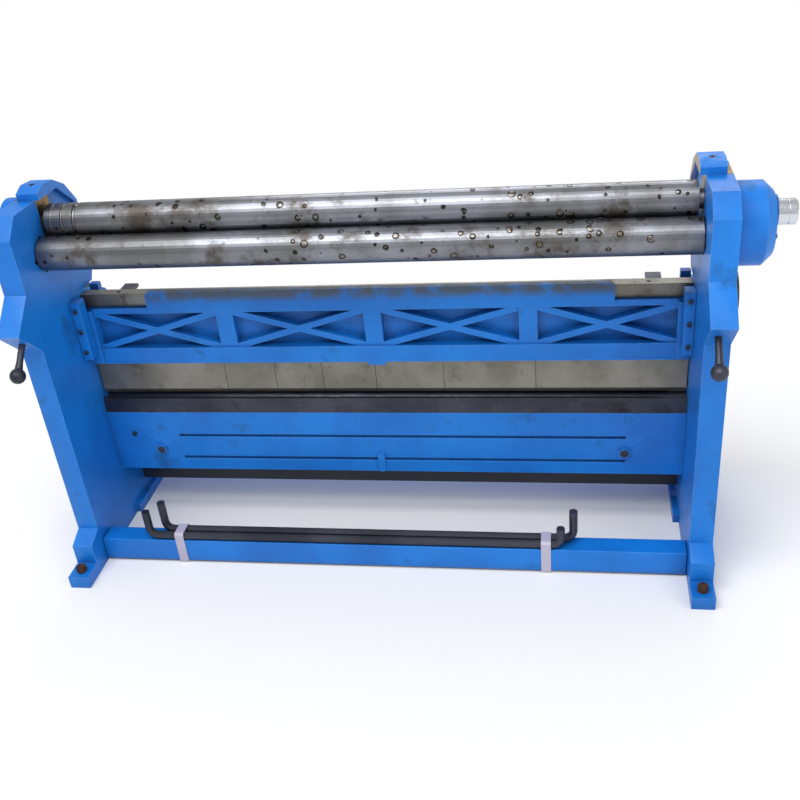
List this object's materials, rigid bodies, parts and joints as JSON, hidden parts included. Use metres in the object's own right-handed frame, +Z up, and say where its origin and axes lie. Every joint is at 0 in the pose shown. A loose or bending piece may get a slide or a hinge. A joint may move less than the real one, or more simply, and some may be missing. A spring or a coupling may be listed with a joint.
{
  "type": "combination sheet metal machine",
  "caption": "Bench-height sheet metal machine with slip rolls on top, and a finger brake and shear worked by one ram between two cast side frames.",
  "frame": {"origin": "centre of the bounding box's bottom face, on the floor", "axes": "+X along the rolls towards the drive shaft, +Y from the front to the back, +Z up"},
  "size_m": [1.659, 0.6017, 0.9043],
  "materials": {
    "blue_paint": "semi-gloss",
    "dark_painted_casting": "satin",
    "ground_roll_steel": "oiled",
    "ground_die_steel": "oiled",
    "dark_tool_steel": "satin",
    "bearing_bronze": "satin",
    "turned_steel": "bright",
    "black_oxide": "satin",
    "strapping_band": "matte",
    "rusty_bolt_steel": "rusted"
  },
  "bodies": {
    "frame": {"left_side_frame": "blue_paint", "left_front_anchor_bolt": "rusty_bolt_steel", "left_rear_anchor_bolt": "rusty_bolt_steel", "left_bearing_cap": "blue_paint", "left_cap_bolt": "black_oxide", "left_upper_bearing": "bearing_bronze", "left_front_gib": "blue_paint", "left_rear_gib": "blue_paint", "left_shaft_bush": "bearing_bronze", "left_packing_band": "strapping_band", "right_side_frame": "blue_paint", "right_front_anchor_bolt": "rusty_bolt_steel", "right_rear_anchor_bolt": "rusty_bolt_steel", "right_bearing_cap": "blue_paint", "right_cap_bolt": "black_oxide", "right_upper_bearing": "bearing_bronze", "right_front_gib": "blue_paint", "right_rear_gib": "blue_paint", "right_shaft_bush": "bearing_bronze", "right_packing_band": "strapping_band", "gear_housing": "blue_paint", "gear_cover": "blue_paint", "bed_beam": "blue_paint", "vee_die": "dark_tool_steel", "lower_shear_blade": "dark_tool_steel", "shear_table": "blue_paint", "front_tie_bar": "blue_paint", "rear_tie_bar": "blue_paint", "front_operating_bar": "black_oxide", "rear_operating_bar": "black_oxide"},
    "ram": {"ram_beam": "blue_paint", "ram_top_bar": "ground_die_steel", "finger_die_1": "ground_die_steel", "finger_die_2": "ground_die_steel", "finger_die_3": "ground_die_steel", "finger_die_4": "ground_die_steel", "finger_die_5": "ground_die_steel", "finger_die_6": "ground_die_steel", "finger_die_7": "ground_die_steel", "upper_shear_blade": "dark_tool_steel", "left_eccentric_strap": "dark_tool_steel", "right_eccentric_strap": "dark_tool_steel"},
    "lever_shaft": {"eccentric_shaft": "turned_steel", "left_lever_hub": "dark_painted_casting", "right_lever_hub": "dark_painted_casting"},
    "drive": {"drive_shaft": "turned_steel"},
    "upper_roller": {"upper_roll": "ground_roll_steel", "upper_roll_gear": "dark_tool_steel"},
    "lower_carriage": {"left_lower_bearing": "bearing_bronze", "right_lower_bearing": "bearing_bronze"},
    "lower_roller": {"lower_roll": "ground_roll_steel", "lower_roll_gear": "dark_tool_steel", "lower_roll_drive_gear": "dark_tool_steel"},
    "left_feed_screw": {"left_lower_screw": "black_oxide"},
    "right_feed_screw": {"right_lower_screw": "black_oxide"},
    "rear_carriage": {"left_rear_bearing": "bearing_bronze", "right_rear_bearing": "bearing_bronze"},
    "rear_roller": {"rear_roll": "ground_roll_steel"},
    "left_bend_screw": {"left_rear_screw": "black_oxide"},
    "right_bend_screw": {"right_rear_screw": "black_oxide"}
  },
  "joints": [
    {"name": "drive_turn", "type": "hinge", "parent": "frame", "child": "drive", "pos_m": [0.7615, -0.02884, 0.78664], "axis": [1, 0, 0], "continuous": true},
    {"name": "upper_roll_turn", "type": "hinge", "parent": "frame", "child": "upper_roller", "pos_m": [-0.0385, -0.03465, 0.82105], "axis": [1, 0, 0], "continuous": true},
    {"name": "lower_roll_slide", "type": "slide", "parent": "frame", "child": "lower_carriage", "axis": [0, 0.7071, 0.7071], "range_m": [-0.005, 0.0015]},
    {"name": "lower_roll_turn", "type": "hinge", "parent": "lower_carriage", "child": "lower_roller", "pos_m": [-0.0385, -0.0891, 0.7666], "axis": [1, 0, 0], "continuous": true},
    {"name": "left_feed_screw_turn", "type": "hinge", "parent": "lower_carriage", "child": "left_feed_screw", "pos_m": [-0.7485, -0.0891, 0.7666], "axis": [0, 0.7071, 0.7071], "range_deg": [-725, 220]},
    {"name": "right_feed_screw_turn", "type": "hinge", "parent": "lower_carriage", "child": "right_feed_screw", "pos_m": [0.6715, -0.0891, 0.7666], "axis": [0, 0.7071, 0.7071], "range_deg": [-725, 220]},
    {"name": "rear_roll_slide", "type": "slide", "parent": "frame", "child": "rear_carriage", "axis": [0, 0, 1], "range_m": [-0.004, 0.024]},
    {"name": "rear_roll_turn", "type": "hinge", "parent": "rear_carriage", "child": "rear_roller", "pos_m": [-0.0385, 0.0329, 0.745], "axis": [1, 0, 0], "continuous": true},
    {"name": "left_bend_screw_turn", "type": "hinge", "parent": "rear_carriage", "child": "left_bend_screw", "pos_m": [-0.7485, 0.0329, 0.745], "axis": [0, 0, 1], "range_deg": [-365, 2165]},
    {"name": "right_bend_screw_turn", "type": "hinge", "parent": "rear_carriage", "child": "right_bend_screw", "pos_m": [0.6715, 0.0329, 0.745], "axis": [0, 0, 1], "range_deg": [-365, 2165]},
    {"name": "lever_shaft_turn", "type": "hinge", "parent": "frame", "child": "lever_shaft", "pos_m": [-0.0385, 0.1069, 0.55], "axis": [1, 0, 0], "range_deg": [-47, 40]},
    {"name": "ram_slide", "type": "slide", "parent": "frame", "child": "ram", "axis": [0, 0, 1], "range_m": [-0.0127, 0.0149]}
  ],
  "couplings": [
    {"joint": "lower_roll_turn", "follows": "drive_turn", "ratio": -0.8},
    {"joint": "upper_roll_turn", "follows": "drive_turn", "ratio": 0.8},
    {"joint": "left_feed_screw_turn", "follows": "lower_roll_slide", "rad_per_m": 2513.3},
    {"joint": "right_feed_screw_turn", "follows": "lower_roll_slide", "rad_per_m": 2513.3},
    {"joint": "left_bend_screw_turn", "follows": "rear_roll_slide", "rad_per_m": 1570.8},
    {"joint": "right_bend_screw_turn", "follows": "rear_roll_slide", "rad_per_m": 1570.8},
    {"joint": "ram_slide", "follows": "lever_shaft_turn", "m_per_rad": -0.018}
  ]
}
